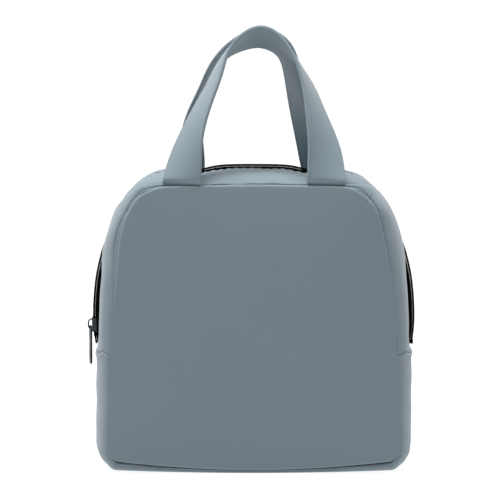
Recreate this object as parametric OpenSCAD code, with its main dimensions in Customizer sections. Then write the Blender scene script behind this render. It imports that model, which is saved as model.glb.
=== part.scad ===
// Insulated lunch bag with a zip over the top and two strap handles.
// Frame: origin on the ground under the middle of the bag, +X to the right, +Y to the back, +Z up.
// Every layer of the bag is drawn between two outlines: the seam outline, where a panel is sewn
// on, and the fuller outline half way between the two panels, where the zip runs.

/* [Bag] */
// Half of the width across the side gussets, half way back
side_half = 113; // [108:0.5:118]
// Height of the top of the bag under the zip
crest_z = 212.5; // [208:0.5:218]
// Height of the seams where the zip ends and the lower gusset begins
junction_z = 82.5; // [76:0.5:88]
// Distance of each panel seam from the middle of the bag
seam_y = 66; // [60:0.5:72]
// How far the middle of a panel stands out from its seam
panel_crown = 4.5; // [3:0.5:6]

/* [Panel seam] */
// How far the seam lies inside the side gussets at the junction height
seam_inset = 12.7; // [10:0.1:15]
// How far the seam's top lies below the top of the bag
seam_drop = 10.3; // [9:0.1:13]
// Height of the seam along the bottom
seam_bottom_z = 3.4; // [3:0.1:5]
// Radius of the seam's two top corners
seam_corner_r = 26; // [22:1:32]
// Radius of the seam's two bottom corners
seam_base_r = 9; // [6:1:12]

/* [Layers] */
// Thickness of the outer fabric
shell_t = 1.0; // [0.8:0.1:1.1]
// Thickness of the foam between the fabrics
foam_t = 4.0; // [3:0.5:4]
// Thickness of the lining film
lining_t = 0.6; // [0.4:0.1:0.8]

/* [Handles] */
// Width of a strap
strap_w = 26.5; // [22:0.5:28]
// Thickness of a strap
strap_t = 2.4; // [1.8:0.1:2.6]
// Distance of a strap's leg from the middle of the bag
leg_x = 50; // [46:1:54]
// Height of the front handle along its own plane
front_handle_h = 112; // [100:1:125]
// Height of the back handle along its own plane
back_handle_h = 119; // [100:1:125]
// How far the top of the front handle is shifted to the right
front_top_x = 4.5; // [0:0.5:10]
// How far the top of the back handle is shifted to the right
back_top_x = 9; // [0:0.5:10]
// Angle at which the front handle leans back from upright
front_lean = 23; // [20:1:25]
// Angle at which the back handle leans forward from upright
back_lean = 31; // [28:1:32]

/* [Zip] */
// Height of the middle of the slider when it rests on its stop
slider_z = 98; // [95:0.5:110]
// Length of the slider
slider_l = 11; // [9:0.5:12]
// Length of the puller below its pivot bar
puller_l = 26.5; // [20:0.5:30]
// Width of the puller
puller_w = 6.4; // [6:0.2:8]

/* [Hidden] */
$fn = 32;

shell_c = "#717e86";
gusset_c = "#848f97";
foam_c = "#e4e2da";
lining_c = "#c9ced2";
zip_c = "#1d2024";
metal_c = "#3b444c";

// Depths below the outside of the fabric at which the layers begin
fit = 0.2;
tape_d = shell_t + 0.1;
tape_t = 0.6;
foam_d = tape_d + tape_t + fit;
lining_d = foam_d + foam_t + fit;
inside_d = lining_d + lining_t;

// Distances from the middle plane at which the layers of the gussets stop
foam_panel_y = seam_y - fit - foam_t;
foam_edge_y = foam_panel_y - fit;
lining_panel_y = foam_panel_y - fit;
lining_edge_y = lining_panel_y - lining_t - fit;

// ---------- Outlines ----------
// An outline is a chain of tangent arcs from the bottom middle, round one side, to the top middle.
// Each point is [x, z, heading], where heading is the angle of travel and the outside is on its right.

function arc(p, r, a0, a1, n) =
    [for (i = [1:n])
        let (a = a0 + (a1 - a0) * i / n)
        [p[0] + r * (sin(a) - sin(a0)), p[1] + r * (cos(a0) - cos(a)), a]];

function line(p, l, a, n) =
    [for (i = [1:n]) [p[0] + l * i / n * cos(a), p[1] + l * i / n * sin(a), a]];

// Solves a*u + b*v = e and c*u + d*v = f
function solve(a, b, c, d, e, f) = [(e * d - b * f) / (a * d - b * c), (a * f - e * c) / (a * d - b * c)];

// Upper half: a side arc turning by `side`, the corner, and a flat top arc turning by `top`
function upper_radii(xj, z_top, lean, side, top, r) = solve(
    cos(lean) - cos(side), sin(top), sin(side) - sin(lean), 1 - cos(top),
    xj - r * (cos(side) - sin(top)), z_top - junction_z - r * (cos(top) - sin(side)));

// Lower half: a flat bottom arc turning by `rise`, the corner, and a straight side
function lower_sizes(xj, z_bottom, lean, rise, r) = solve(
    sin(rise), -sin(lean), 1 - cos(rise), cos(lean),
    xj - r * (cos(lean) - sin(rise)), junction_z - z_bottom - r * (cos(rise) + sin(lean)));

function lower_half(xj, z_bottom, lean, rise, r) =
    let (size = lower_sizes(xj, z_bottom, lean, rise, r))
    let (start = [0, z_bottom, 0])
    let (bottom = arc(start, size[0], 0, rise, 5))
    let (corner = arc(bottom[4], r, rise, 90 + lean, 5))
    concat([start], bottom, corner, line(corner[4], size[1], 90 + lean, 3));

function upper_half(xj, z_top, lean, side, top, r) =
    let (radii = upper_radii(xj, z_top, lean, side, top, r))
    let (start = [xj, junction_z, 90 + lean])
    let (flank = arc(start, radii[0], 90 + lean, 90 + side, 7))
    let (corner = arc(flank[6], r, 90 + side, 180 - top, 8))
    concat([start], flank, corner, arc(corner[7], radii[1], 180 - top, 180, 5));

// The left half of an outline is the right half mirrored and walked the other way
function flip(p) = [-p[0], p[1], -p[2]];
function flip_top(p) = [-p[0], p[1], 360 - p[2]];
function lower_full(h) = concat([for (i = [len(h) - 1:-1:1]) flip(h[i])], h);
function upper_full(h) = concat(h, [for (i = [len(h) - 2:-1:0]) flip_top(h[i])]);

// The seam outline hangs on the outside one
seam_half = side_half - seam_inset;
seam_top_z = crest_z - seam_drop;

// Turning angles of the two outlines
seam_lean = 1.8;
seam_side = 14;
seam_top_turn = 5;
seam_rise = 6.3;
mid_bulge = 6;
mid_side = 21;
mid_top_turn = 3;
mid_rise = 1.2;
mid_corner_r = 55;
mid_base_r = 18;
mid_bottom_z = -2;

seam_low = lower_full(lower_half(seam_half, seam_bottom_z, seam_lean, seam_rise, seam_base_r));
seam_up = upper_full(upper_half(seam_half, seam_top_z, seam_lean, seam_side, seam_top_turn, seam_corner_r));
mid_low = lower_full(lower_half(side_half, mid_bottom_z, 0, mid_rise, mid_base_r));
mid_up = upper_full(upper_half(side_half, crest_z, -mid_bulge, mid_side, mid_top_turn, mid_corner_r));
seam_loop = concat(seam_low, [for (i = [1:len(seam_up) - 2]) seam_up[i]]);

// The side arc that the zip slider runs on
slide_r = upper_radii(side_half, crest_z, -mid_bulge, mid_side, mid_top_turn, mid_corner_r)[0];
slide_x = slide_r * cos(mid_bulge) - side_half;
slide_z = junction_z + slide_r * sin(mid_bulge);
slider_turn = asin((slider_z - slide_z) / slide_r);

// A point of an outline moved inwards by d
function inset(p, d) = [p[0] - d * sin(p[2]), p[1] + d * cos(p[2])];
function inset_loop(d) = [for (p = seam_loop) inset(p, d)];

// ---------- Gusset layers ----------
// How far the gusset has swelled from the seam outline (0) to the middle outline (1) at distance y
function swell(y) = sqrt(max(0, 1 - pow(abs(y) / seam_y, 2.5)));

function gusset_point(s, m, y, d) =
    let (p = inset(s, d) + (inset(m, d) - inset(s, d)) * swell(y))
    [p[0], y, max(p[1], max(d, 0))];

function sheet(seam, mid, ys, d) =
    [for (i = [0:len(seam) - 1]) [for (y = ys) gusset_point(seam[i], mid[i], y, d)]];

// Closed solid between an outer and an inner grid of points
module slab(outer, inner) {
    ni = len(outer);
    nj = len(outer[0]);
    points = concat([for (row = outer) each row], [for (row = inner) each row]);
    function o(i, j) = i * nj + j;
    function n(i, j) = (ni + i) * nj + j;
    function quad(a, b, c, d) = [[a, b, c], [a, c, d]];
    faces = concat(
        [for (i = [0:ni - 2], j = [0:nj - 2]) each quad(o(i, j), o(i + 1, j), o(i + 1, j + 1), o(i, j + 1))],
        [for (i = [0:ni - 2], j = [0:nj - 2]) each quad(n(i, j), n(i, j + 1), n(i + 1, j + 1), n(i + 1, j))],
        [for (i = [0:ni - 2]) each quad(o(i, 0), n(i, 0), n(i + 1, 0), o(i + 1, 0))],
        [for (i = [0:ni - 2]) each quad(o(i, nj - 1), o(i + 1, nj - 1), n(i + 1, nj - 1), n(i, nj - 1))],
        [for (j = [0:nj - 2]) each quad(o(0, j), o(0, j + 1), n(0, j + 1), n(0, j))],
        [for (j = [0:nj - 2]) each quad(o(ni - 1, j), n(ni - 1, j), n(ni - 1, j + 1), o(ni - 1, j + 1))]
    );
    polyhedron(points, faces);
}

module gusset_layer(seam, mid, ys, d, t) {
    slab(sheet(seam, mid, ys, d), sheet(seam, mid, ys, d + t));
}

module at_back() {
    mirror([0, 1, 0]) children();
}

// Stations across a strip: half of the bag's depth for the top strips, all of it for the lower ones
strip_gap = 4.8;
curve_ys = [14, 28, 43, 56];
function front_ys(first, last) = [for (y = concat([last], [for (i = [3:-1:0]) curve_ys[i]], [first])) -y];
function shell_ys(first) = [for (y = concat([seam_y, seam_y - 3], [for (i = [3:-1:0]) curve_ys[i]], [first])) -y];
function both(ys) = concat(ys, [for (i = [len(ys) - 1:-1:0]) -ys[i]]);
inner_gap = 5;

module lower_layer(ys, d, t) {
    gusset_layer(seam_low, mid_low, both(ys), d, t);
}

module top_layer(ys, d, t) {
    gusset_layer(seam_up, mid_up, ys, d, t);
}

// ---------- Panels ----------
panel_mid_z = 102;
ring_scales = [1, 0.93, 0.78, 0.55, 0.28];
function ring(loop, k, y) =
    [for (p = loop) [p[0] * k, y, panel_mid_z + (p[1] - panel_mid_z) * k]];

// Solid inside a loop, with front and back surfaces given as functions of the distance from the middle
module cushion(loop, front, back) {
    n = len(loop);
    m = len(ring_scales);
    points = concat(
        [for (k = ring_scales) each ring(loop, k, front(k))],
        [for (k = ring_scales) each ring(loop, k, back(k))],
        [[0, front(0), panel_mid_z], [0, back(0), panel_mid_z]]
    );
    function f(k, i) = k * n + i % n;
    function b(k, i) = (m + k) * n + i % n;
    faces = concat(
        [for (k = [0:m - 2], i = [0:n - 1]) each [
            [f(k, i), f(k + 1, i), f(k + 1, i + 1)], [f(k, i), f(k + 1, i + 1), f(k, i + 1)]]],
        [for (k = [0:m - 2], i = [0:n - 1]) each [
            [b(k, i), b(k + 1, i + 1), b(k + 1, i)], [b(k, i), b(k, i + 1), b(k + 1, i + 1)]]],
        [for (i = [0:n - 1]) [f(m - 1, i), 2 * m * n, f(m - 1, i + 1)]],
        [for (i = [0:n - 1]) [b(m - 1, i), b(m - 1, i + 1), 2 * m * n + 1]],
        [for (i = [0:n - 1]) each [[f(0, i), f(0, i + 1), b(0, i + 1)], [f(0, i), b(0, i + 1), b(0, i)]]]
    );
    polyhedron(points, faces);
}

function crown(k) = panel_crown * (1 - pow(k, 3));

module panel() {
    cushion(inset_loop(0), function(k) -seam_y - shell_t - crown(k), function(k) -seam_y - crown(k));
}

module foam_panel() {
    cushion(inset_loop(shell_t + fit), function(k) fit - seam_y - crown(k), function(k) -foam_panel_y);
}

// Flat piece in a plane facing the front, from y0 to y1
module upright(y0, y1) {
    translate([0, y1, 0]) rotate([90, 0, 0]) linear_extrude(y1 - y0) children();
}

module lining_panel() {
    upright(-lining_panel_y, lining_t - lining_panel_y) polygon(inset_loop(lining_d));
}

binding_w = 3;
binding_t = 1.6;
module seam_binding() {
    inner_y = lining_t - lining_panel_y;
    upright(inner_y, inner_y + binding_w) difference() {
        polygon(inset_loop(inside_d + fit));
        polygon(inset_loop(inside_d + fit + binding_t));
    }
}

// ---------- Zip ----------
chain_gap = 0.7;
coil_w = 2.2;
coil_h = 1.1;
tape_w = 14;
coil_y = chain_gap + coil_w;

module tape() {
    top_layer([-tape_w, -strip_gap, -chain_gap], tape_d, tape_t);
}

module coil() {
    top_layer([-coil_y, -chain_gap], -coil_h, coil_h + tape_d);
}

// Place on the zip at the turning angle `a` of the side arc: local x points out, local z along the zip
module on_zip(a) {
    translate([slide_x, 0, slide_z]) rotate([0, a, 0]) translate([-slide_r, 0, 0]) mirror([1, 0, 0]) children();
}

stop_l = 2.8;
stop_cap = 0.6;
stop_gap = 0.3;
module stop() {
    translate([coil_h, -coil_y, -stop_l / 2]) cube([stop_cap, 2 * coil_y, stop_l]);
    translate([-tape_d, 0.04 - chain_gap, -stop_l / 2])
        cube([coil_h + tape_d + stop_cap, 2 * chain_gap - 0.08, stop_l]);
}

function turn_of(l) = l / slide_r * 180 / PI;
stop_turn = slider_turn - turn_of(slider_l / 2 + stop_gap + stop_l / 2);

plate_d = 1.5;
plate_t = 1.2;
plate_y = 4.2;
flange_y = 3.3;
flange_d = 0.8;
neck_y = 0.4;
lower_plate_d = 2.1;
lower_plate_t = 1.1;
lower_plate_y = 4.0;

module slider() {
    l = slider_l;
    // Upper plate with rounded ends
    translate([plate_d, 0, 0]) rotate([0, 90, 0]) linear_extrude(plate_t) intersection() {
        square([l, 2 * plate_y], center = true);
        circle(r = l / 2 + 0.6, $fn = 64);
    }
    // Flanges that hold the two coils together
    for (side = [-1, 1])
        translate([-flange_d, side > 0 ? flange_y : -plate_y, 1 - l / 2])
            cube([flange_d + plate_d, plate_y - flange_y, l - 2]);
    // Web between the coils, and the lower plate under the tapes
    translate([-lower_plate_d, -neck_y, 0.2 - l / 2])
        cube([lower_plate_d + plate_d, 2 * neck_y, l - 0.4]);
    translate([-lower_plate_d - lower_plate_t, -lower_plate_y, 0.5 - l / 2])
        cube([lower_plate_t, 2 * lower_plate_y, l - 1]);
}

bail_l = 8.7;
bail_h = 3.45;
bail_t = 1.3;
bail_w = 2;
bail_r = 2.2;
plate_top = plate_d + plate_t;

// Rectangle from x = 0 to x = h, rounded at its far corners
module bridge_shape(l, h, r) {
    intersection() {
        translate([0, -l / 2]) square([h, l]);
        union() {
            translate([0, -l / 2]) square([h - r, l]);
            translate([0, r - l / 2]) square([h, l - 2 * r]);
            for (s = [-1, 1])
                translate([h - r, s * (l / 2 - r)]) circle(r);
        }
    }
}

module bail() {
    translate([plate_top, bail_w / 2, 0]) rotate([90, 0, 0]) linear_extrude(bail_w) difference() {
        bridge_shape(bail_l, bail_h, bail_r);
        bridge_shape(bail_l - 2 * bail_t, bail_h - bail_t, 0.9);
    }
}

bar_r = 0.6;
bar_x = plate_top + 1.15;
bar_z = 0.35 + bar_r - bail_l / 2 + bail_t;
puller_t = 1.4;
eye_l = 5;
eye_y = 1.6;
slot_l = 7.6;
slot_w = 2.4;

// The puller hangs straight down from a bar through the bail: an eye round it, then a slotted plate
module puller() {
    translate([bar_x, 0, bar_z]) rotate([0, slider_turn, 0]) {
        rotate([90, 0, 0]) cylinder(r = bar_r, h = puller_w, center = true);
        translate([-puller_t / 2, 0, 0]) rotate([0, 90, 0]) linear_extrude(puller_t) difference() {
            union() {
                translate([-0.9, -puller_w / 2]) square([puller_l - 0.5, puller_w]);
                translate([puller_l - 2.4, 0]) circle(d = puller_w - 1.4);
            }
            translate([-2, -eye_y]) square([eye_l + 2, 2 * eye_y]);
            translate([puller_l - 11, 0]) circle(d = slot_w);
            translate([puller_l - 11, -slot_w / 2]) square([slot_l - slot_w, slot_w]);
            translate([puller_l - 11 + slot_l - slot_w, 0]) circle(d = slot_w);
        }
    }
}

// ---------- Handles ----------
hinge_y = seam_y + 0.8;
hinge_z = seam_top_z + 1.2;
end_gap = 0.2;
fold_clearance = 0.7;
end_out = 1.0;
flat_foot = 6;

// A strap rises from its left leg over an uneven arch to its right leg, in a plane that leans.
// Each side of the arch is a quarter of a superellipse. The strap faces outwards at its foot and
// turns edge on towards the top.
function arch(t, top_x, h, left_p, right_p) =
    let (left = t < 90)
    let (q = 2 / (left ? left_p : right_p))
    let (reach = left ? leg_x + top_x : leg_x - top_x)
    [top_x + (left ? -1 : 1) * reach * pow(abs(cos(t)), q), h * pow(sin(t), q)];

function unit(v) = v / norm(v);

module strap(top_x, h, lean, left_p, right_p) {
    steps = 40;
    up = [0, sin(lean), cos(lean)];
    through = [0, cos(lean), -sin(lean)];
    ts = [for (i = [0:steps]) i / steps * 180];
    flat = [for (t = ts) arch(t, top_x, h, left_p, right_p)];
    function tangent(i) = i == 0 ? [0, 1] : i == steps ? [0, -1] : unit(flat[i + 1] - flat[i - 1]);
    function turn(i) = 90 * pow(max(0, flat[i][1] - flat_foot) / (h - flat_foot), 0.7);
    rings = [for (i = [0:steps])
        let (t = tangent(i))
        let (out = [-t[1], 0, 0] + t[0] * up)
        let (across = out * cos(turn(i)) + through * sin(turn(i)))
        let (face = through * cos(turn(i)) - out * sin(turn(i)))
        let (centre = [flat[i][0], -hinge_y, hinge_z] + (flat[i][1] + end_gap) * up)
        [for (c = [[-1, 0], [-0.94, 1], [0.94, 1], [1, 0], [0.94, -1], [-0.94, -1]])
            centre + across * c[0] * strap_w / 2 + face * c[1] * strap_t / 2]];
    n = 6;
    faces = concat(
        [for (i = [0:steps - 1], j = [0:n - 1])
            let (a = i * n + j)
            let (b = i * n + (j + 1) % n)
            each [[a, a + n, b + n], [a, b + n, b]]],
        [[for (j = [0:n - 1]) j]],
        [[for (j = [n - 1:-1:0]) steps * n + j]]
    );
    polyhedron([for (r = rings) each r], faces);
}

// Strap ends that stand out of the panel seam, under the flex line of a handle
module strap_ends() {
    top_z = hinge_z - strap_t / 2 - fold_clearance;
    run = [for (i = [-4:4]) leg_x + i * strap_w / 8];
    top_r = upper_radii(seam_half, seam_top_z, seam_lean, seam_side, seam_top_turn, seam_corner_r)[1];
    arch_z = [for (x = run) seam_top_z - top_r + sqrt(top_r * top_r - x * x) + 0.02];
    for (side = [-1, 1])
        upright(-seam_y - end_out, -seam_y - 0.05) polygon(concat(
            [for (i = [0:len(run) - 1]) [side * run[i], arch_z[i]]],
            [[side * run[len(run) - 1], top_z], [side * run[0], top_z]]));
}

// ---------- Nodes ----------
module front_panel() { color(shell_c) panel(); }
module back_panel() { color(shell_c) at_back() panel(); }
module top_strip_front() { color(gusset_c) top_layer(shell_ys(strip_gap), 0, shell_t); }
module top_strip_back() { color(gusset_c) at_back() top_strip_front(); }
module lower_gusset() { color(gusset_c) lower_layer(shell_ys(inner_gap), 0, shell_t); }

module foam_front() { color(foam_c) foam_panel(); }
module foam_back() { color(foam_c) at_back() foam_panel(); }
module foam_top_front() { color(foam_c) top_layer(front_ys(10, foam_edge_y), foam_d, foam_t); }
module foam_top_back() { color(foam_c) at_back() foam_top_front(); }
module foam_lower() { color(foam_c) lower_layer(front_ys(inner_gap, foam_edge_y), foam_d, foam_t); }

module lining_front() { color(lining_c) lining_panel(); }
module lining_back() { color(lining_c) at_back() lining_panel(); }
module lining_top_front() { color(lining_c) top_layer(front_ys(8, lining_edge_y), lining_d, lining_t); }
module lining_top_back() { color(lining_c) at_back() lining_top_front(); }
module lining_lower() { color(lining_c) lower_layer(front_ys(inner_gap, lining_edge_y), lining_d, lining_t); }
module seam_binding_front() { color(shell_c) seam_binding(); }
module seam_binding_back() { color(shell_c) at_back() seam_binding(); }

module zip_tape_front() { color(zip_c) tape(); }
module zip_tape_back() { color(zip_c) at_back() tape(); }
module zip_coil_front() { color(zip_c) coil(); }
module zip_coil_back() { color(zip_c) at_back() coil(); }
module zip_stops() {
    color(zip_c) {
        on_zip(stop_turn) stop();
        mirror([1, 0, 0]) on_zip(turn_of(stop_l) - mid_bulge) stop();
    }
}

module slider_body() { color(metal_c) on_zip(slider_turn) slider(); }
module slider_bail() { color(metal_c) on_zip(slider_turn) bail(); }
module slider_puller() { color(metal_c) on_zip(slider_turn) puller(); }

module front_strap_ends() { color(gusset_c) strap_ends(); }
module back_strap_ends() { color(gusset_c) at_back() strap_ends(); }
module front_handle() { color(gusset_c) strap(front_top_x, front_handle_h, front_lean, 1.5, 1.85); }
module back_handle() { color(gusset_c) at_back() strap(back_top_x, back_handle_h, back_lean, 2.3, 1.3); }

front_panel();
back_panel();
top_strip_front();
top_strip_back();
lower_gusset();
foam_front();
foam_back();
foam_top_front();
foam_top_back();
foam_lower();
lining_front();
lining_back();
lining_top_front();
lining_top_back();
lining_lower();
seam_binding_front();
seam_binding_back();
zip_tape_front();
zip_tape_back();
zip_coil_front();
zip_coil_back();
zip_stops();
slider_body();
slider_bail();
slider_puller();
front_strap_ends();
back_strap_ends();
front_handle();
back_handle();
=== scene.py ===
# %% [markdown]
# # A zipped lunch bag, piece by piece
# The bag is a soft box: two padded panels, a padded gusset between them, a coil zip over the top
# and two strap handles. The CAD model gives the frame, so every size below starts from its boxes.

# %% Load the frame
import math
import bpy
import numpy as np
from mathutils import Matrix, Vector


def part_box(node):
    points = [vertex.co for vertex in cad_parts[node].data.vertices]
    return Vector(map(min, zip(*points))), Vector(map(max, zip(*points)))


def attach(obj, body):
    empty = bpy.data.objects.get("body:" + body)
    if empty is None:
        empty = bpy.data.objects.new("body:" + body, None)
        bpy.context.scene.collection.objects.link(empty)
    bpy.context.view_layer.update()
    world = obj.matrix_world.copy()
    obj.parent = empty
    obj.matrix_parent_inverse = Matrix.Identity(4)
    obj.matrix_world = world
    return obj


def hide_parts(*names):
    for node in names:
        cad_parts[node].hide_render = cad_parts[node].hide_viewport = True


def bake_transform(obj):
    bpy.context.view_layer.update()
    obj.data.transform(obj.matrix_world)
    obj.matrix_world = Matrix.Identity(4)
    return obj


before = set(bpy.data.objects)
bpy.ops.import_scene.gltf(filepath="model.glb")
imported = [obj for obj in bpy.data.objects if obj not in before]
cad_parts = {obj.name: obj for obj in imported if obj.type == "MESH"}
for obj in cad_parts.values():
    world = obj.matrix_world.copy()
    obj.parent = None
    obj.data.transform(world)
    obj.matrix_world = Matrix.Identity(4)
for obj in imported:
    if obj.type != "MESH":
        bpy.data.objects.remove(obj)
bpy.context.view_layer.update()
MM = 0.001
rng = np.random.default_rng(7)


def node_box(name):
    """Lowest and highest corner of a CAD node, in millimetres."""
    low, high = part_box(name)
    return np.array(low) / MM, np.array(high) / MM


gusset_high = node_box("lower_gusset")[1]
strip_low, strip_high = node_box("top_strip_front")
panel_low, panel_high = node_box("front_panel")
SIDE = gusset_high[0]
CREST = strip_high[2]
JUNCTION = gusset_high[2]
SEAM_Y = -strip_low[1]
SEAM_TOP = panel_high[2]
SEAM_BOTTOM = panel_low[2]
print(f"bag {2 * SIDE:.0f} mm wide and {CREST:.0f} high, seams {2 * SEAM_Y:.0f} apart")
print(f"zip ends {JUNCTION:.0f} mm above the ground")

# %% [markdown]
# ## Turning numbers into meshes
# Every new piece is a grid of points worked out with numpy. One function turns such a grid into a
# mesh, closes it where it meets itself, and writes a UV map in real metres, so that a weave keeps
# its thread spacing on every piece. A closed grid whose volume comes out negative is inside out,
# so its faces are turned.

# %% A mesh from a grid of points
def surface(name, points, wrap_u=False, wrap_v=False, caps=False):
    """Object from points[u, v, xyz] in mm. A wrapped direction closes on itself, and caps close the
    two ends of u (of v where only u wraps)."""
    nu, nv = points.shape[:2]
    rows = np.arange(nu + wrap_u)
    cols = np.arange(nv + wrap_v)
    closed = points[np.ix_(rows % nu, cols % nv)]
    along = np.linalg.norm(np.diff(closed, axis=0), axis=2).mean(axis=1)
    across = np.linalg.norm(np.diff(closed, axis=1), axis=2).mean(axis=0)
    u = np.concatenate([[0], np.cumsum(along)]) * MM
    v = np.concatenate([[0], np.cumsum(across)]) * MM
    i, j = np.meshgrid(rows[:-1], cols[:-1], indexing="ij")
    corner_i = np.stack([i, i + 1, i + 1, i], axis=-1).reshape(-1, 4)
    corner_j = np.stack([j, j, j + 1, j + 1], axis=-1).reshape(-1, 4)
    quads = (corner_i % nu) * nv + corner_j % nv
    uv = np.stack([u[corner_i], v[corner_j]], axis=-1)
    ends = []
    if caps and wrap_v:
        ends = [np.arange(nv), ((nu - 1) * nv + np.arange(nv))[::-1]]
    elif caps:
        ends = [np.arange(nu)[::-1] * nv, np.arange(nu) * nv + nv - 1]
    return mesh_object(name, points.reshape(-1, 3), quads, uv, ends)


def mesh_object(name, verts, quads, uv, ends=()):
    """Object from points in mm, four-sided faces, their UVs and any end faces, turned outwards."""
    a, b, c, d = (verts[quads[:, k]] for k in range(4))
    volume = np.einsum("ij,ij->i", a, np.cross(b, c) + np.cross(c, d)).sum() / 6
    if volume < 0:
        quads, uv = quads[:, ::-1], uv[:, ::-1]
        ends = [e[::-1] for e in ends]
    mesh = bpy.data.meshes.new(name)
    faces = quads.tolist() + [list(map(int, e)) for e in ends]
    mesh.from_pydata((verts * MM).tolist(), [], faces)
    layer = mesh.uv_layers.new(name="UVMap")
    flat = np.zeros((len(mesh.loops), 2))
    flat[:uv.shape[0] * 4] = uv.reshape(-1, 2)
    layer.data.foreach_set("uv", flat.ravel())
    mesh.polygons.foreach_set("use_smooth", np.ones(len(mesh.polygons), dtype=bool))
    piece = bpy.data.objects.new(name, mesh)
    bpy.context.scene.collection.objects.link(piece)
    print(f"{name}: {len(mesh.polygons)} faces")
    return piece


Y_AXIS = np.array([0, 1.0, 0])


def unit(v):
    """Vectors scaled to length 1."""
    return v / np.maximum(np.linalg.norm(v, axis=-1, keepdims=True), 1e-9)


def bump(x, centre, width):
    """Smooth bell of height 1: exp(-((x - centre) / width) ** 2)."""
    return np.exp(-((x - centre) / width) ** 2)


def ramp(x, low, high):
    """0 below low, 1 above high, and a smooth step between them: 3 t ** 2 - 2 t ** 3."""
    t = np.clip((x - low) / (high - low), 0, 1)
    return t * t * (3 - 2 * t)


def walked(points):
    """Length from the first point of a row to each of its points, for one row or for many."""
    steps = np.linalg.norm(np.diff(points, axis=-2), axis=-1)
    return np.concatenate([np.zeros(steps.shape[:-1] + (1,)), np.cumsum(steps, axis=-1)], axis=-1)

# %% [markdown]
# ## Colours and materials
# Colours are written as sRGB hex values, as a colour picker gives them, and one function turns them
# into the linear values that a shader needs. A second one adds a shader node.

# %% Colour and node helpers
def linear(hex_colour):
    """Linear RGBA from an sRGB hex value: c / 12.92 in the dark, ((c + 0.055) / 1.055) ** 2.4 above."""
    s = [int(hex_colour[i:i + 2], 16) / 255 for i in (1, 3, 5)]
    return (*[c / 12.92 if c <= 0.04045 else ((c + 0.055) / 1.055) ** 2.4 for c in s], 1)


def add_node(tree, kind, inputs=None, **settings):
    """A node of this kind with its settings, and its inputs set or linked."""
    node = tree.nodes.new(kind)
    for key, value in settings.items():
        setattr(node, key, value)
    for key, value in (inputs or {}).items():
        if isinstance(value, bpy.types.NodeSocket):
            tree.links.new(value, node.inputs[key])
        else:
            node.inputs[key].default_value = value
    return node


def new_material(name, **shader):
    """A material with only a Principled shader, and its tree and shader."""
    material = bpy.data.materials.new(name)
    material.use_nodes = True
    tree = material.node_tree
    principled = tree.nodes["Principled BSDF"]
    for key, value in shader.items():
        principled.inputs[key.replace("_", " ")].default_value = value
    return material, tree, principled


print("sRGB #808080 is", round(linear("#808080")[0], 3), "in linear light")

# %% [markdown]
# ## Woven polyester
# The shell and the straps are plain-woven polyester with a matt coating inside. The threads lie
# about 0.3 mm apart on the real cloth; that is finer than a picture of the whole bag can show, so
# the weave here is drawn three times as coarse. The height of a plain weave is a chessboard of
# bumps: sin(u) * sin(v). A slow noise shifts the colour a little, as dye and handling do, and a
# fine one stands for uneven threads. The sheen is the soft glow of loose fibres at the edges.

# %% The cloth
THREAD = 0.9 * MM


def woven_polyester(name, colour, mottle=0.05, thread=THREAD, strength=0.12, sheen=0.22, shine=0.25):
    """Plain-woven polyester with its weave laid along the piece's UV map."""
    material, tree, principled = new_material(name, Roughness=0.82, Sheen_Weight=sheen,
                                              Sheen_Roughness=0.5, Specular_IOR_Level=shine)
    uv = add_node(tree, "ShaderNodeUVMap", uv_map="UVMap").outputs["UV"]
    place = add_node(tree, "ShaderNodeTexCoord").outputs["Object"]
    axes = add_node(tree, "ShaderNodeSeparateXYZ", {"Vector": uv})
    waves = []
    for axis in ("X", "Y"):
        turns = add_node(tree, "ShaderNodeMath", {0: axes.outputs[axis], 1: math.pi / thread},
                         operation="MULTIPLY")
        waves.append(add_node(tree, "ShaderNodeMath", {0: turns.outputs[0]}, operation="SINE"))
    weave = add_node(tree, "ShaderNodeMath", {0: waves[0].outputs[0], 1: waves[1].outputs[0]},
                     operation="MULTIPLY")
    slubs = add_node(tree, "ShaderNodeTexNoise", {"Vector": place, "Scale": 700.0, "Detail": 2.0})
    height = add_node(tree, "ShaderNodeMath", {0: slubs.outputs["Fac"], 1: 0.35, 2: weave.outputs[0]},
                      operation="MULTIPLY_ADD")
    relief = add_node(tree, "ShaderNodeBump", {"Height": height.outputs[0], "Strength": strength,
                                               "Distance": 0.1 * MM})
    patches = add_node(tree, "ShaderNodeTexNoise", {"Vector": place, "Scale": 16.0, "Detail": 3.0})
    base = linear(colour)
    dark = tuple(c * (1 - mottle) for c in base[:3]) + (1,)
    light = tuple(c * (1 + mottle) for c in base[:3]) + (1,)
    shade = add_node(tree, "ShaderNodeMapRange", {"Value": patches.outputs["Fac"], "From Min": 0.3,
                                                  "From Max": 0.7})
    mix = add_node(tree, "ShaderNodeMix", {"Factor": shade.outputs[0], "A": dark, "B": light},
                   data_type="RGBA")
    tree.links.new(mix.outputs["Result"], principled.inputs["Base Color"])
    tree.links.new(relief.outputs[0], principled.inputs["Normal"])
    return material


panel_cloth = woven_polyester("woven polyester panel", "#6f7d85", mottle=0.015, strength=0.06)
strap_cloth = woven_polyester("woven polyester strap", "#707e86", mottle=0.015, strength=0.06)
print("cloth:", panel_cloth.name, "and", strap_cloth.name, "with a thread every", THREAD / MM, "mm")

# %% [markdown]
# ## The two outlines
# Seen from the front, the bag is drawn by two outlines. The seam outline is where a panel is sewn
# on; the middle outline runs half way between the panels and is fuller. Each is a chain of arcs
# that meet without a corner: a flat bottom arc, the base corner, a straight side, a side arc, the
# top corner and a flat top arc. Two radii of each chain are free, and two equations close it.
# The parameter t counts the pieces, from 0 at the bottom middle to 6 at the top middle, and is
# negative on the left.

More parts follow.
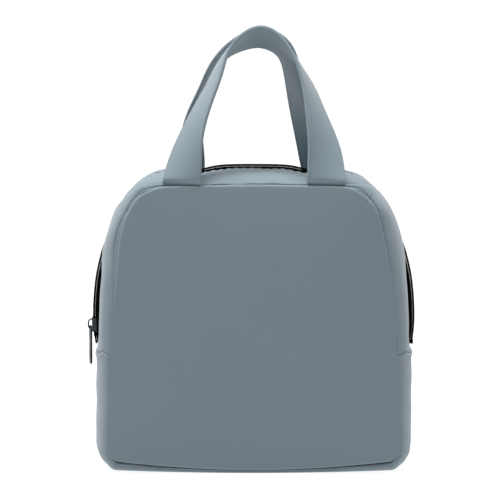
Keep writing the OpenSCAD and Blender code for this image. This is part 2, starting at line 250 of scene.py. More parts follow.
# %% Outlines as chains of arcs
class Outline:
    """Closed outline as a function of t in [-6, 6]; calling it gives x, z and outward normal."""

    def __init__(self, half, bottom, top, lean, upper_lean, side, flat, rise, corner_r, base_r):
        lean, upper_lean, side, flat, rise = np.radians([lean, upper_lean, side, flat, rise])
        low_r, straight = np.linalg.solve(
            [[np.sin(rise), -np.sin(lean)], [1 - np.cos(rise), np.cos(lean)]],
            [half - base_r * (np.cos(lean) - np.sin(rise)),
             JUNCTION - bottom - base_r * (np.cos(rise) + np.sin(lean))])
        side_r, top_r = np.linalg.solve(
            [[np.cos(upper_lean) - np.cos(side), np.sin(flat)],
             [np.sin(side) - np.sin(upper_lean), 1 - np.cos(flat)]],
            [half - corner_r * (np.cos(side) - np.sin(flat)),
             top - JUNCTION - corner_r * (np.cos(flat) - np.sin(side))])
        right = np.pi / 2
        self.radius = np.array([low_r, base_r, 0, side_r, corner_r, top_r])
        self.first = np.array([0, rise, right + lean, right + upper_lean, right + side, np.pi - flat])
        self.last = np.array([rise, right + lean, right + lean, right + side, np.pi - flat, np.pi])
        self.length = np.array([0, 0, straight, 0, 0, 0])
        self.start = np.array([[0, bottom]] * 6, dtype=float)
        for k in range(1, 6):
            self.start[k] = self.point(k - 1, 1.0)[:2]

    def point(self, k, part):
        """Place and heading at a share of piece k. On an arc of radius r whose heading has turned from
        a to b, x grows by r (sin b - sin a) and z by r (cos a - cos b)."""
        heading = self.first[k] + (self.last[k] - self.first[k]) * part
        x = self.start[k][..., 0] + self.radius[k] * (np.sin(heading) - np.sin(self.first[k]))
        z = self.start[k][..., 1] + self.radius[k] * (np.cos(self.first[k]) - np.cos(heading))
        x = x + self.length[k] * part * np.cos(heading)
        z = z + self.length[k] * part * np.sin(heading)
        return np.array([x, z, heading])

    def __call__(self, t):
        t = np.asarray(t, dtype=float)
        k = np.minimum(np.abs(t).astype(int), 5)
        x, z, heading = self.point(k, np.abs(t) - k)
        sign = np.where(t < 0, -1.0, 1.0)
        spot = np.stack([sign * x, z], axis=-1)
        normal = np.stack([sign * np.sin(heading), -np.cos(heading)], axis=-1)
        return spot, normal


SEAM_INSET = 12.7
seam_line = Outline(half=SIDE - SEAM_INSET, bottom=SEAM_BOTTOM, top=SEAM_TOP, lean=1.8,
                    upper_lean=1.8, side=14, flat=5, rise=6.3, corner_r=26, base_r=9)
middle_line = Outline(half=SIDE, bottom=-2, top=CREST, lean=0, upper_lean=-6, side=21, flat=3,
                      rise=1.2, corner_r=55, base_r=18)


def even_steps(first, last, count):
    """Values of t that lie evenly spaced along the middle outline, and the length they cover."""
    fine = np.linspace(first, last, 4000)
    length = walked(middle_line(fine)[0])
    return np.interp(np.linspace(0, length[-1], count), length, fine), length[-1]


def over_the_top(half):
    """Places up the right side to the top middle, then their mirror images down the left."""
    return np.concatenate([half, -half[::-1][1:]])


def under_the_base(half):
    """Places that mirror the right side's, down to the bottom middle, then the right side's."""
    return np.concatenate([-half[::-1], half[1:]])


print(f"side arc radius {middle_line.radius[3]:.1f}, top arc radius {middle_line.radius[5]:.1f}")

# %% [markdown]
# ## The seam
# A panel and the gusset are sewn together and turned, so their seam lies at the bottom of a narrow
# valley. A dark line painted on the cloth would look flat; real depth darkens by itself from every
# side. The valley is deeper along the top and the bottom than down the sides, and deepest beside
# the left top corner, where the cloth is turned hardest.

# %% Seam path, depth and groove
def seam_path(t):
    """The sewn seam: the seam outline, drawn outwards by up to 3 mm beside the left corner, under
    the handles and at the bottom, where the cloth was not fed in quite evenly."""
    a = np.abs(t)
    left = t < 0
    spot, normal = seam_line(t)
    out = left * (3.3 * bump(a, 3.86, 0.24) + 1.5 * bump(a, 4.4, 0.3)) \
        + 1.4 * bump(a, 5.05, 0.35) + 0.8 * bump(a, 0, 0.75)
    return spot + out[..., None] * normal, normal


def seam_depth(t):
    """How far the seam lies behind the face of the panel, in mm."""
    a = np.abs(t)
    left = t < 0
    return 0.25 + 1.3 * ramp(a, 3.4, 3.8) + 0.6 * left * bump(a, 3.9, 0.3) \
        + 1.2 * ramp(1.25 - a, 0, 0.3)


def groove(t, distance, spread):
    """The stitched line itself lies deeper still: a fine groove along the seam that fades as
    exp(-distance / (0.7 spread)), and beside the left corner a wider, steep sided one that fades as
    exp(-(distance / (2.6 spread)) ** 2). The gusset has spread 1 and the stiffer panel less."""
    a = np.abs(t)
    left = t < 0
    tight = 2.3 + 0.4 * np.sin(23 * t) + 0.3 * np.sin(61 * t + 1)
    tight *= 1 - 0.45 * left * bump(a, 3.8, 0.17)
    fine = tight * (0.1 + 0.9 * ramp(a, 3.3, 3.6) + 0.9 * ramp(1.9 - a, 0, 0.5))
    wide = left * (3.2 * bump(a, 3.8, 0.16) + 0.8 * bump(a, 4.2, 0.3))
    return fine * np.exp(-distance / (0.7 * spread)) + wide * np.exp(-(distance / (2.6 * spread)) ** 2)


print("seam depth", seam_depth(np.array([0, 2.5, -3.9])).round(2), "mm")

# %% [markdown]
# ## How the gusset swells
# Between the seams the gusset swells from the seam outline to the middle outline, as a filled
# pillow does. A cloth simulation could find such a form, but it would also move the seams and the
# zip; a formula keeps them where the CAD has them. Down the sides the cloth leaves the seam almost
# straight outwards. Over the top it leans back towards the zip, in a soft roll.

# %% Swelling between the seams
def swell_limit(t):
    """Largest swelling angle: 90 degrees would leave the seam straight outwards, less leans back.
    It is 86 at the base, 82 down the sides and 66 over the top."""
    a = np.abs(t)
    top = ramp(a, 4.5, 5.1)
    return np.radians(86 - 4 * ramp(a, 0.9, 1.6) * ramp(3.9 - a, 0, 0.9) - 20 * top)


def middle_path(t):
    """The middle outline as it really lies: pressed in by a few mm where the handles stand."""
    spot, normal = middle_line(t)
    dip = 3.6 * (np.abs(t) > 4) * bump(np.abs(spot[..., 0]), 45, 14)
    return spot - dip[..., None] * normal, normal


def uneven_junction(t, across):
    """The outline place, moved up a little beside the junction seams, which bow upwards half way
    between the zip and the panels."""
    a = np.abs(t)
    shift = 0.036 * bump(np.abs(across), 0.75, 0.22) * ramp(a, 2.5, 3) * (1 - ramp(a, 3, 3.4))
    return t + np.sign(t) * shift


def gusset_base(t, angle, depth):
    """Point of the gusset: angle 0 is half way between the panels and 1 or -1 is a seam; depth is
    how far under the outside it lies. Distance from the seam outline = (cos a - cos m) / (1 - cos m),
    y = seam * (sin a / sin m) ** 0.8, where m is the largest angle. Along the bottom a root of that
    distance makes the cloth drop steeply from the seam to the ground, and a soft maximum of z and 0,
    (z + sqrt(z ** 2 + 0.8)) / 2 - 0.08, rounds the base's edge."""
    limit = swell_limit(t)
    theta = np.abs(angle) * limit
    part = (np.cos(theta) - np.cos(limit)) / (1 - np.cos(limit))
    part = np.maximum(part, 0) ** (1 - 0.66 * ramp(1.7 - np.abs(t), 0, 0.7))
    y = np.sign(angle) * (SEAM_Y + 1 - seam_depth(t)) * (np.sin(theta) / np.sin(limit)) ** 0.8
    s, ns = seam_path(t)
    m, nm = middle_path(t)
    part = part[..., None]
    depth = np.asarray(depth)[..., None]
    flat = (s - depth * ns) * (1 - part) + (m - depth * nm) * part
    lift = np.sqrt(flat[..., 1] ** 2 + 0.8) / 2 + flat[..., 1] / 2 - 0.08
    return np.stack([flat[..., 0], y, lift], axis=-1)


print("middle of the base at", gusset_base(np.array([0.0]), 0, 0)[0].round(2), "mm")

# %% [markdown]
# ## Folds and puckers
# Sewing pulls cloth in, so short creases run away from every seam, at uneven distances. A bump
# texture would vanish at the outline, so they are heights in the mesh. The panel and the gusset
# share one list of creases, because one row of stitches holds both.

# %% Creases along the panel seams
PUCKERS = 74
pucker_t = np.sort(rng.uniform(-5.93, 5.93, PUCKERS))
pucker_deep = rng.uniform(0.15, 0.6, PUCKERS) * (0.35 + 0.65 * ramp(np.abs(pucker_t), 3.2, 4.2))
pucker_wide = rng.uniform(0.010, 0.022, PUCKERS)


def puckers(t, distance, reach):
    """Sum of short creases: each is a bell along the seam that fades as exp(-distance / reach)."""
    near = np.exp(-((t[..., None] - pucker_t) / pucker_wide) ** 2) * pucker_deep
    return near.sum(axis=-1) * np.exp(-distance / reach)


print(PUCKERS, "creases, the deepest", round(float(pucker_deep.max()), 2), "mm")

# %% [markdown]
# Beside the top corners the gusset also folds: a crease starts at the seam under each handle and
# runs outwards to the side, and the cloth between it and the seam stands up as a roll. Beside the
# zip the cloth sinks in. All these heights are added up and laid off along the normals of the
# smooth form, as a Displace modifier would do, but without a picture of the heights.

# %% Relief of the gusset
LEG_X = 50
BAG_MIDDLE_Z = 105


def strap_press(t):
    """1 where a handle's leg presses on the gusset, fading to 0 on either side of it."""
    x = seam_line(t)[0][..., 0]
    return (np.abs(t) > 4) * bump(np.abs(x), LEG_X, 16) ** 2


def roll_width(t):
    """Distance of the crease from the seam, measured over the cloth, in mm."""
    a = np.abs(t)
    notch = np.where(t < 0, 4.13, 4.36)
    return 6.5 + 45 * np.clip((4.95 - a) / (4.95 - notch), 0, 1) ** 3.2


def soft_waves(t, across):
    """Slow unevenness of padded cloth: the sum of three long waves, up to 0.4 mm high."""
    turn = t * np.pi / 6
    return 0.16 * np.sin(10 * turn + 0.9 + 2.2 * across) + 0.13 * np.sin(22 * turn - 3.1 * across) \
        + 0.10 * np.sin(36 * turn + 5.3 * across + 2)


def zip_sink(t):
    """How far the cloth beside the zip lies under the middle outline: 4 mm down the sides, where the
    closed zip pulls straight, nothing round the corners and 1.7 mm over the top."""
    a = np.abs(t)
    return 4.0 * ramp(a, 2.95, 3.15) * ramp(3.8 - a, 0, 0.3) + 1.7 * ramp(a, 4.8, 5.1)


def gusset_relief(t, across, distance):
    """Height of the folds over the smooth gusset, in mm. The roll is half a sine over its width, the
    crease a bell at its edge, and across is 0 at the zip and 1 or -1 at a seam."""
    a = np.abs(t)
    width = roll_width(t)
    by_strap = 1 - ramp(a, 4.95, 5.15)
    roll = (0.8 + 1.9 * bump(a, 4.55, 0.3)) * np.sin(np.pi * np.clip(distance / width, 0, 1)) ** 0.8
    crease = (2.0 + 1.6 * bump(a, 4.65, 0.3)) * ramp(a, 4.2, 4.4) * bump(distance, width, 1.5)
    from_zip = np.abs(across)
    facet = 1.6 * bump(a, 4.5, 0.35) * ramp(from_zip, 0.03, 0.3) * ramp(distance - width, 0, 14)
    flank = 0.7 * bump(a, 3.95, 0.3) * ramp(from_zip, 0.03, 0.4) * ramp(1 - from_zip, 0.05, 0.5)
    sink = zip_sink(t) * (1 - ramp(from_zip, 0.05, 0.75))
    folds = roll * ramp(a, 3.6, 4.2) * by_strap - crease * by_strap + facet + flank
    return folds * (1 - strap_press(t)) - sink + soft_waves(t, across) - puckers(t, distance, 3.5)


def displaced(points, heights):
    """Points moved along the normals of their own grid, which point away from the bag's middle."""
    du = np.gradient(points, axis=0)
    dv = np.gradient(points, axis=1)
    normal = unit(np.cross(du, dv))
    outward = points - np.array([0, 0, BAG_MIDDLE_Z])
    normal = normal * np.sign(np.einsum("ijk,ijk->ij", normal, outward))[..., None]
    return points + normal * heights[..., None]


print("cloth sinks", zip_sink(3.3), "mm beside the zip")

# %% [markdown]
# ## The gusset
# Each strip is one closed skin: the outside goes from the seam to the zip's edge, turns under in a
# small folded hem and comes back 1 mm deeper. Solidify could give the thickness, but not the round
# edge of the hem. The zip's stitches draw the hem in, so it waves with a period of about 6 mm.

# %% Top strips
ZIP_GAP = 4.6
ZIP_ANGLE = 0.036
CLOTH = 1.0
WAVE = 5.8
STRIP_PLACES = 300
FACE_ROWS = 102
HEM_ROWS = 7
UNDER_ROWS = 10


def top_strip(name, back):
    """One top strip, swept from one junction seam over the top to the other. Across it, the rows are
    the outside from seam to hem, the half round hem, and the underside. The rows stand closer at
    both ends of the outside: share s of them reaches 1 - s + 0.13 sin(2 pi s) of the angle."""
    half, length = even_steps(3, 6, STRIP_PLACES)
    t = over_the_top(half)
    share = np.linspace(0, 1, FACE_ROWS)
    outside = 1 - share + 0.13 * np.sin(2 * np.pi * share)
    face = ZIP_ANGLE + (1 - ZIP_ANGLE) * outside
    back_way = np.linspace(FACE_ROWS - 1, 0, UNDER_ROWS).astype(int)
    rows = np.concatenate([face, np.full(HEM_ROWS, ZIP_ANGLE), face[back_way]])
    turn = np.linspace(0, np.pi, HEM_ROWS + 2)[1:-1]
    depth = np.concatenate([np.zeros(FACE_ROWS), CLOTH / 2 * (1 - np.cos(turn)),
                            np.full(UNDER_ROWS, CLOTH)])
    hem = np.concatenate([np.zeros(FACE_ROWS), 0.5 * np.sin(turn), np.zeros(UNDER_ROWS)])
    tt, angle = np.meshgrid(t, rows, indexing="ij")
    tt = uneven_junction(tt, angle)
    points = gusset_base(tt, -angle, np.broadcast_to(depth, tt.shape))
    points[..., 1] += hem
    along = np.linspace(-length, length, len(t))[:, None]
    wobble = np.sin(2 * np.pi * along / WAVE + 0.9 * np.sin(along / 17) + (1.3 if back else 0))
    to_zip = np.abs(points[..., 1]) - ZIP_GAP
    gather = 1.5 * np.exp(-np.maximum(to_zip, 0) / 2.2) * wobble
    distance = walked(points)
    top_side = slice(0, FACE_ROWS)
    relief = gusset_relief(tt[:, top_side], angle[:, top_side], distance[:, top_side])
    lifted = displaced(points[:, top_side], relief + 0.32 * gather[:, top_side])
    shift = lifted - points[:, top_side]
    points[:, top_side] = lifted
    points[:, FACE_ROWS:FACE_ROWS + HEM_ROWS] += shift[:, -1:]
    points[:, FACE_ROWS + HEM_ROWS:] += shift[:, back_way]
    points[..., 1] += 0.28 * gather * (to_zip < 6)
    points[:, top_side, 1] += groove(tt[:, top_side], distance[:, top_side], 1.0)
    if back:
        points[..., 1] *= -1
    return surface(name, points, wrap_v=True, caps=True)


strip_front = top_strip("Top_strip_front", back=False)
strip_back = top_strip("Top_strip_back", back=True)

# %% [markdown]
# The lower gusset runs from one junction seam down, under the bag and up to the other. It could be
# one piece with the top strips, but the real one is sewn to them, so its ends carry a small hem.
# It rests on its flat base, so no point goes below the ground.

# %% Lower gusset
GUSSET_PLACES = 190
GUSSET_ROWS = 57


def lower_gusset():
    """The whole lower strip, seam to seam, with its underside 1 mm deeper. Its rows stand closest at
    the seams, where the groove is: share s of them lies s ** 1.6 of the angle away."""
    t = under_the_base(even_steps(0, 3, GUSSET_PLACES)[0])
    fold = np.linspace(0, 1, GUSSET_ROWS) ** 1.6
    rows = np.concatenate([fold - 1, 1 - fold[::-1][1:]])
    tt, angle = np.meshgrid(t, rows, indexing="ij")
    from_junction = 3 - np.abs(tt)
    tt = uneven_junction(tt, angle)
    points = gusset_base(tt, angle, np.zeros(tt.shape))
    from_front = walked(points)
    distance = np.minimum(from_front, from_front[:, -1:] - from_front)
    on_ground = ramp(3.0 - points[..., 2], 0, 2.5)
    relief = (soft_waves(tt, angle) - puckers(tt, distance, 3.0)) * (1 - on_ground)
    hem = 0.7 * bump(from_junction, 0.03, 0.028) - 0.9 * bump(from_junction, 0.0, 0.012)
    outer = displaced(points, relief + hem)
    outer[..., 1] -= np.sign(angle) * groove(tt, distance, 1.0)
    outer[..., 2] = np.maximum(outer[..., 2], 0.0)
    inner = gusset_base(tt, angle * 0.985, np.full(tt.shape, CLOTH))
    inner[..., 2] = np.maximum(inner[..., 2], CLOTH)
    loop = np.concatenate([outer, inner[:, ::-1]], axis=1)
    return surface("Lower_gusset", loop, wrap_v=True, caps=True)


gusset_piece = lower_gusset()

# %% [markdown]
# Under the cloth lie the foam and the lining film. They could be offsets of the finished cloth, but
# that would copy every pucker; instead they follow the same smooth swelling, deeper down. The foam
# starts 1.9 mm under the outside (2.6 mm at the top strips), the film 6.3 mm (6.9 mm), and both
# stop short of the panels' own foam.

# %% Foam and lining of the gusset
LAYER_COLUMNS = 24


def inner_layer(name, first, last, edges, depth, thick):
    """A closed layer between two outline places; edges are its two limits in y, in mm. The angle that
    belongs to a y is asin((y / seam) ** 1.25 sin m) / m, which undoes the gusset's own formula."""
    if first < 3:
        t = under_the_base(even_steps(first, last, 60)[0])
    else:
        t = over_the_top(even_steps(first, last, 80)[0])
    face = np.linspace(edges[0], edges[1], LAYER_COLUMNS)
    rows = np.concatenate([face, face[::-1]])
    depths = np.repeat([depth, depth + thick], LAYER_COLUMNS)
    tt, yy = np.meshgrid(t, rows, indexing="ij")
    limit = swell_limit(tt)
    share = np.clip(np.abs(yy) / (SEAM_Y + 1 - seam_depth(tt)), 0, 0.995) ** 1.25 * np.sin(limit)
    angle = np.sign(yy) * np.arcsin(share) / limit
    sink = zip_sink(tt) * (1 - ramp(np.abs(angle), 0.05, 0.75))
    points = gusset_base(tt, angle, depths + sink)
    points[..., 2] = np.maximum(points[..., 2], depths)
    return surface(name, points, wrap_v=True, caps=True)


foam_pieces = [inner_layer("Foam_lower", 0, 2.97, (-61.4, 61.4), 1.9, 4.0),
               inner_layer("Foam_top_front", 3.03, 6, (-61.4, -10.0), 2.6, 3.8),
               inner_layer("Foam_top_back", 3.03, 6, (61.4, 10.0), 2.6, 3.8)]
film_pieces = [inner_layer("Lining_lower", 0, 2.97, (-60.4, 60.4), 6.3, 0.6),
               inner_layer("Lining_top_front", 3.03, 6, (-60.4, -8.0), 6.9, 0.6),
               inner_layer("Lining_top_back", 3.03, 6, (60.4, 8.0), 6.9, 0.6)]

# %% [markdown]
# ## The panels
# A panel is a padded sheet inside the seam outline. A subdivided plane would have to be trimmed at
# the seam; rings that shrink from the seam towards the middle meet it exactly. The panel crowns
# gently, because the foam behind it is stiff, and rolls back into the seam.

# %% Panels
def lay_weave_flat(piece):
    """UV map of a cut panel: the cloth lies flat on x and z, whatever way its faces run."""
    mesh = piece.data
    co = np.zeros(len(mesh.vertices) * 3)
    mesh.vertices.foreach_get("co", co)
    index = np.zeros(len(mesh.loops), dtype=int)
    mesh.loops.foreach_get("vertex_index", index)
    mesh.uv_layers["UVMap"].data.foreach_set("uv", co.reshape(-1, 3)[index][:, [0, 2]].ravel())


PANEL_MIDDLE = 102.0
CROWN = 4.5
RIM_PLACES = 330
PANEL_RINGS = 70
BACK_RINGS = 8
SMALLEST = 0.002


def panel(name, back):
    """Rings k from the middle (0) to the seam (1): face y = -(seam + 1) - crown * (1 - k ** 2.2), drawn
    back by the seam depth within a few mm of the seam, and closed by a flat back. The rings stand
    closest at the seam: k = 1 - (1 - s) ** 1.9."""
    half = even_steps(0, 6, RIM_PLACES)[0]
    t = over_the_top(half)[:-1]
    spread = np.linspace(0, 1, PANEL_RINGS)
    k = np.concatenate([1 - (1 - spread) ** 1.9 * (1 - SMALLEST), np.linspace(1, SMALLEST, BACK_RINGS)])
    tt, kk = np.meshgrid(t, k, indexing="ij")
    rim = seam_path(t)[0]
    middle = np.array([0, PANEL_MIDDLE])
    flat = middle + (rim - middle)[:, None, :] * kk[..., None]
    distance = (1 - kk) * np.linalg.norm(rim - middle, axis=1)[:, None]
    front = np.arange(len(k)) < PANEL_RINGS
    reach = 0.5 + 2.5 * ramp(3.7 - np.abs(tt), 0, 0.5) * ramp(np.abs(tt), 1.2, 1.7)
    fall = seam_depth(tt) * np.exp(-distance / reach) + groove(tt, distance, 0.3)
    x, z = flat[..., 0], flat[..., 1]
    drape = 0.25 * np.sin(x / 31 + 0.4) * np.sin(z / 43) + 0.15 * np.sin(x / 17 - z / 23)
    y = -(SEAM_Y + 1) + fall - CROWN * (1 - kk ** 2.2)
    y = y + puckers(tt, distance, 5.0) * 0.7 + drape * (1 - kk ** 2)
    y = np.where(front, y, -(SEAM_Y - 0.6))
    points = np.stack([x, y, z], axis=-1)
    if back:
        points[..., 1] *= -1
    piece = surface(name, points, wrap_u=True, caps=True)
    lay_weave_flat(piece)
    return piece


panel_front = panel("Front_panel_cover", back=False)
panel_back = panel("Back_panel_cover", back=True)

# %% [markdown]
# ## The zip
# A coil zip is a nylon thread wound into a flat spiral and sewn on a knitted tape. Each half is
# one long helix; the two halves mesh, so one is wound half a pitch out of step. An Array and a
# Curve modifier could repeat one turn, but a section carried along the whole spiral is one closed
# thread. The moulded stops at the ends of the chain come from the CAD.

# %% Zip tapes and coils
def along_zip(t, y, depth):
    """Point of the zip at outline place t, this deep under the outside (above it if negative). The
    chain stands 0.8 mm proud down the sides and lies 1.4 mm lower round the corners; from 2.2 to
    5.2 mm beside its middle the tapes slope down to where the cloth has sunk."""
    m, nm = middle_path(t)
    a = np.abs(t)
    proud = 0.8 * ramp(a, 2.98, 3.2) * ramp(3.8 - a, 0, 0.3) \
        - 1.4 * ramp(a, 3.72, 3.9) * ramp(4.95 - a, 0, 0.2)
    slope = 1 - ramp(np.abs(y), 2.2, 5.2)
    flat = m + (proud * slope - zip_sink(t) * (1 - slope) - np.asarray(depth))[..., None] * nm
    return np.stack([flat[..., 0], np.broadcast_to(y, flat.shape[:-1]), flat[..., 1]], axis=-1)


TAPE_EDGES = (0.4, 13.9)
TAPE_DEPTHS = (0.5, 1.1)
TAPE_COLUMNS = 24


def zip_tape(name, side):
    """A knitted tape from the middle of the chain to 13.9 mm beside it, under the top strip: a flat
    closed loop carried along the zip."""
    t = over_the_top(even_steps(3, 6, 130)[0])
    y = np.linspace(*TAPE_EDGES, TAPE_COLUMNS)
    y = np.concatenate([y, y[::-1]]) * side
    depth = np.repeat(TAPE_DEPTHS, TAPE_COLUMNS)
    tt, yy = np.meshgrid(t, y, indexing="ij")
    return surface(name, along_zip(tt, yy, np.broadcast_to(depth, tt.shape)), wrap_v=True, caps=True)


COIL_PITCH = 1.45
COIL_R = 0.46
STEPS_PER_TURN = 10
THREAD_SIDES = 5


def zip_coil(name, side):
    """Flat spiral: y = side * (1.3 + 1.4 cos a), height = 0.5 + 0.44 sin a, one turn per pitch,
    carried by a small round section."""
    half, length = even_steps(3.02, 6, 4000)
    places = over_the_top(half)
    turns = int(2 * length / COIL_PITCH)
    s = np.linspace(-length, length, turns * STEPS_PER_TURN)
    t = np.interp(s, np.linspace(-length, length, len(places)),
                  np.where(places < 0, places + 12, places))
    t = np.where(t > 6, t - 12, t)
    a = 2 * np.pi * s / COIL_PITCH + (np.pi if side > 0 else 0)
    centre = along_zip(t, side * (1.3 + 1.4 * np.cos(a)), -0.5 - 0.44 * np.sin(a))
    tangent = unit(np.gradient(centre, axis=0))
    beside = unit(np.cross(tangent, np.array([0.3, 0.5, 0.8])))
    third = np.cross(tangent, beside)
    b = np.linspace(0, 2 * np.pi, THREAD_SIDES + 1)[:-1, None]
    ring = centre[:, None] + COIL_R * (beside[:, None] * np.cos(b) + third[:, None] * np.sin(b))
    return surface(name, ring, wrap_v=True, caps=True)


tape_front = zip_tape("Zip_tape_front", -1)
tape_back = zip_tape("Zip_tape_back", 1)
coil_front = zip_coil("Zip_coil_front", -1)
coil_back = zip_coil("Zip_coil_back", 1)

# %% [markdown]
# ## The slider
# The slider is die-cast: an upper plate, a lower plate under the tapes, a web between the coils and
# two flanges that guide them. A bevelled cube would do for each; a superellipsoid has the same soft
# edges without a modifier. They are given in the slider's own directions (out, across, along the
# zip) and then turned to where it stands, at the zip's left end. A small bail stands on it.

# %% Slider and bail
zip_foot, zip_out = middle_line(3.0)
arc_r = middle_line.radius[3]
arc_x, arc_z = zip_foot - arc_r * zip_out
SLIDER_Z = 98.0
slider_turn = math.asin((SLIDER_Z - arc_z) / arc_r)
turn_cos, turn_sin = math.cos(slider_turn), math.sin(slider_turn)


def on_zip(points):
    """From slider coordinates (out, y, along) to the bag: out from the middle of the side arc on
    the left, turned up by the slider's angle."""
    out, y, along = points[..., 0] + arc_r, points[..., 1], points[..., 2]
    x = -arc_x - (out * turn_cos - along * turn_sin)
    z = arc_z + out * turn_sin + along * turn_cos
    return np.stack([x, y, z], axis=-1)


BLOCK_RINGS = 22
BLOCK_SIDES = 48


def pill(name, centre, half, power):
    """Rounded block: a superellipsoid (f(cos u) f(cos v), f(cos u) f(sin v), f(sin u)), where f(w) is
    |w| ** (2 / power) with the sign of w. A higher power has flatter faces and tighter edges."""
    u = np.linspace(-np.pi / 2, np.pi / 2, BLOCK_RINGS + 2)[1:-1, None]
    v = np.linspace(-np.pi, np.pi, BLOCK_SIDES + 1)[:-1]
    waves = np.stack([np.cos(u) + 0 * v, np.sin(u) + 0 * v, np.cos(v) + 0 * u, np.sin(v) + 0 * u])
    level, height, right, back = np.sign(waves) * np.abs(waves) ** (2 / power)
    p = np.stack([level * right, level * back, height], axis=-1)
    return surface(name, on_zip(np.array(centre) + p * np.array(half)), wrap_v=True, caps=True)


slider_parts = [
    pill("Slider_upper_plate", (2.1, 0, 0), (0.6, 4.2, 5.5), power=5),
    pill("Slider_lower_plate", (-2.65, 0, 0), (0.55, 4.0, 5.0), power=5),
    pill("Slider_web", (-0.3, 0, 0), (2.2, 0.4, 5.2), power=6),
    pill("Slider_flange_front", (0.6, -3.75, 0), (1.5, 0.45, 4.6), power=6),
    pill("Slider_flange_back", (0.6, 3.75, 0), (1.5, 0.45, 4.6), power=6),
]


BAIL_FOOT, BAIL_RISE, BAIL_REACH = 2.3, 3.2, 3.7
ROD_R, ROD_WIDER, ROD_SIDES = 0.55, 1.7, 16


def bail_loop():
    """Arch out = foot + rise (sin b) ** 0.55, along = -reach cos b, carried by an oval section that is
    1.7 times as wide across the zip as it is thick."""
    b = np.linspace(0, np.pi, 41)
    arch = np.stack([BAIL_FOOT + BAIL_RISE * np.sin(b) ** 0.55, 0 * b, -BAIL_REACH * np.cos(b)], axis=-1)
    path = on_zip(arch)
    out = unit(np.cross(unit(np.gradient(path, axis=0)), Y_AXIS))[:, None]
    turn = np.linspace(0, 2 * np.pi, ROD_SIDES + 1)[:-1, None]
    ring = path[:, None] + ROD_R * (out * np.cos(turn) + ROD_WIDER * Y_AXIS * np.sin(turn))
    return surface("Slider_bail_loop", ring, wrap_v=True, caps=True)


bail = bail_loop()

# %% [markdown]
# The puller is a punched plate with an eye and a slot. Cutting the holes with a Boolean modifier
# would leave long thin faces; a flat curve with holes, filled, extruded and bevelled, is just what
# a punch and a tumbler make.

# %% Puller
BAR_OUT, BAR_ALONG = 3.85, -2.1
PULLER_TURN = math.radians(13)


def puller():
    """Plate with an eye and a slot. It hangs from its bar in the plane of y and z, turned by 13 degrees
    about the vertical: x = c cos - a sin, y = c sin + a cos, z = b for a point (a, b, c)."""
    outline = [(-3.0, 0.9), (3.0, 0.9), (3.2, 0.7), (3.2, -24.3), (2.0, -26.3), (0.8, -26.5),
               (-0.8, -26.5), (-2.0, -26.3), (-3.2, -24.3), (-3.2, 0.7)]
    eye = [(-1.7, -0.7), (1.7, -0.7), (1.7, -4.2), (1.0, -5.0), (-1.0, -5.0), (-1.7, -4.2)]
    slot = [(-1.2, -16.6), (-0.6, -15.4), (0.6, -15.4), (1.2, -16.6), (1.2, -21.4), (0.6, -22.4),
            (-0.6, -22.4), (-1.2, -21.4)]
    curve = bpy.data.curves.new("Zip_puller", "CURVE")
    curve.dimensions = "2D"
    curve.fill_mode = "BOTH"
    curve.extrude = 0.5 * MM
    curve.bevel_depth = 0.2 * MM
    curve.bevel_resolution = 3
    for loop in (outline, eye, slot):
        spline = curve.splines.new("POLY")
        spline.points.add(len(loop) - 1)
        spline.use_cyclic_u = True
        for spot, (a, b) in zip(spline.points, loop):
            spot.co = (a * MM, b * MM, 0, 1)
    flat = bpy.data.objects.new("flat", curve)
    bpy.context.scene.collection.objects.link(flat)
    bpy.context.view_layer.update()
    mesh = bpy.data.meshes.new_from_object(flat.evaluated_get(bpy.context.evaluated_depsgraph_get()))
    bpy.data.objects.remove(flat)
    co = np.zeros(len(mesh.vertices) * 3)
    mesh.vertices.foreach_get("co", co)
    a, b, c = co.reshape(-1, 3).T
    bar = on_zip(np.array([BAR_OUT, 0, BAR_ALONG])) * MM
    turn_c, turn_s = math.cos(PULLER_TURN), math.sin(PULLER_TURN)
    x, y = bar[0] + c * turn_c - a * turn_s, c * turn_s + a * turn_c
    mesh.vertices.foreach_set("co", np.stack([x, y, bar[2] + b], axis=-1).ravel())
    mesh.name = "Zip_puller"
    piece = bpy.data.objects.new("Zip_puller", mesh)
    bpy.context.scene.collection.objects.link(piece)
    print(f"Zip_puller: {len(mesh.polygons)} faces")
    return piece


pull = puller()

# %% [markdown]
# ## The strap handles
# Each handle is one flat strap of doubled polyester, 26.5 mm wide, sewn into a panel seam at both
# ends. Where it leaves the seam it is flat to the panel. The front one turns edge on towards its
# top, and the back one turns less there, so its underside shows; they lean over each other above
# the zip. A Curve object with a bevel profile and a tilt would do; here the section is carried along
# one cubic curve and turned by a second one, so that both tails can be tucked in behind the seam.

# %% A smooth curve through points
HINGE_Y = SEAM_Y + 0.8
HINGE_Z = SEAM_TOP + 1.2
LEAN_FRONT, LEAN_BACK = math.radians(23), math.radians(31)


